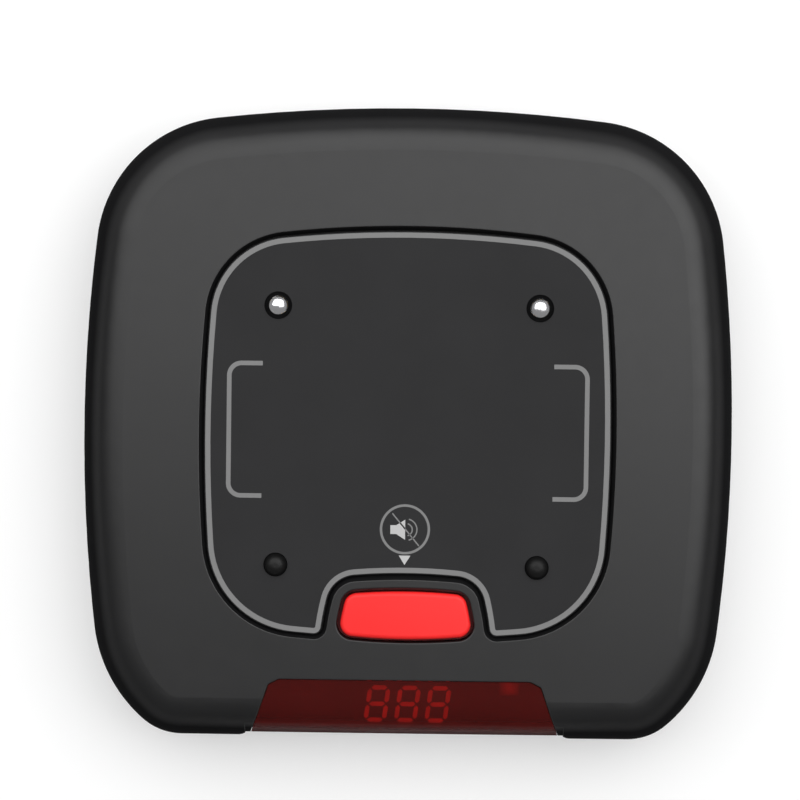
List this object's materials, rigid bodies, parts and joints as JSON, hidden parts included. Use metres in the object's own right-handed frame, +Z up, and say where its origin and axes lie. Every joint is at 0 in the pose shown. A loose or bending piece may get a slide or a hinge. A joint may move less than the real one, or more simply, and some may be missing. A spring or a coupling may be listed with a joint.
{
  "type": "guest pager",
  "caption": "Flat square table pager with a recessed face panel, a red mute button, a lit display behind a red window and sprung charging pins.",
  "frame": {"origin": "middle of the feet's plane, under the centre of the casing's outline", "axes": "+X across the casing, -Y towards the display window at the front, +Z up from the table"},
  "size_m": [0.1058, 0.1028, 0.0212],
  "materials": {
    "case_plastic": "fine matt texture",
    "panel_plastic": "satin printed sheet",
    "adhesive_film": "double-sided film",
    "window_red": "translucent smoked red",
    "button_red": "satin moulded",
    "contact_chrome": "polished plate",
    "post_rubber": "smooth black",
    "foot_rubber": "matt dark",
    "brass": "turned and plated",
    "spring_steel": "drawn wire and sheet",
    "screw_steel": "zinc plated",
    "tinned_metal": "tinned",
    "motor_steel": "drawn can",
    "weight_metal": "sintered tungsten alloy",
    "board_laminate": "green solder mask",
    "component_black": "moulded epoxy",
    "segment_red": "diffusing epoxy",
    "led_epoxy": "clear red epoxy",
    "stem_plastic": "moulded nylon",
    "copper_wire": "enamelled copper",
    "cell_foil": "laminated pouch foil",
    "tape_white": "foam tape",
    "connector_white": "moulded nylon",
    "lead_red": "soft insulation",
    "lead_black": "soft insulation"
  },
  "bodies": {
    "case": {"top_cover": "case_plastic", "bottom_cover": "case_plastic", "face_panel": "panel_plastic", "panel_adhesive": "adhesive_film", "display_window": "window_red", "display_module": "component_black", "display_segments": "segment_red", "display_pins": "tinned_metal", "flash_leds": "led_epoxy", "main_board": "board_laminate", "microcontroller": "component_black", "chip_leads": "tinned_metal", "receiver_can": "tinned_metal", "receiver_chip": "component_black", "crystal_can": "tinned_metal", "board_parts": "component_black", "antenna_coil": "copper_wire", "switch_body": "component_black", "switch_plate": "spring_steel", "switch_legs": "tinned_metal", "contact_barrel_left": "brass", "contact_barrel_right": "brass", "contact_spring_left": "spring_steel", "contact_spring_right": "spring_steel", "charge_stud_left": "brass", "charge_stud_right": "brass", "stacking_posts": "post_rubber", "battery_cell": "cell_foil", "battery_tape": "tape_white", "battery_socket": "connector_white", "battery_plug": "connector_white", "battery_lead_red": "lead_red", "battery_lead_black": "lead_black", "motor_can": "motor_steel", "motor_boot": "foot_rubber", "motor_lead_red": "lead_red", "motor_lead_black": "lead_black", "buzzer_body": "component_black", "buzzer_disc": "brass", "buzzer_lead_red": "lead_red", "buzzer_lead_black": "lead_black", "case_screws": "screw_steel", "board_screws": "screw_steel", "foot_pads": "foot_rubber", "switch_dome": "spring_steel"},
    "mute_button": {"mute_button": "button_red"},
    "switch_stem": {"switch_stem": "stem_plastic"},
    "contact_pin_left": {"contact_pin_left": "contact_chrome"},
    "contact_pin_right": {"contact_pin_right": "contact_chrome"},
    "motor_rotor": {"motor_shaft": "spring_steel", "eccentric_weight": "weight_metal"}
  },
  "joints": [
    {"name": "mute_button_press", "type": "slide", "parent": "case", "child": "mute_button", "axis": [0, 0, -1], "range_m": [0, 0.0004], "stiffness_N_per_m": 2500, "springref_m": -0.0002},
    {"name": "switch_stem_press", "type": "slide", "parent": "case", "child": "switch_stem", "axis": [0, 0, -1], "range_m": [0, 0.0004], "deforming": ["switch_dome"]},
    {"name": "contact_pin_left_press", "type": "slide", "parent": "case", "child": "contact_pin_left", "axis": [0, 0, -1], "range_m": [0, 0.001], "stiffness_N_per_m": 320, "springref_m": -0.0008, "deforming": ["contact_spring_left"]},
    {"name": "contact_pin_right_press", "type": "slide", "parent": "case", "child": "contact_pin_right", "axis": [0, 0, -1], "range_m": [0, 0.001], "stiffness_N_per_m": 320, "springref_m": -0.0008, "deforming": ["contact_spring_right"]},
    {"name": "motor_spin", "type": "hinge", "parent": "case", "child": "motor_rotor", "pos_m": [0.0416, 0.0058, 0.009], "axis": [0, 1, 0], "continuous": true}
  ],
  "couplings": [
    {"joint": "switch_stem_press", "follows": "mute_button_press", "ratio": 1}
  ]
}
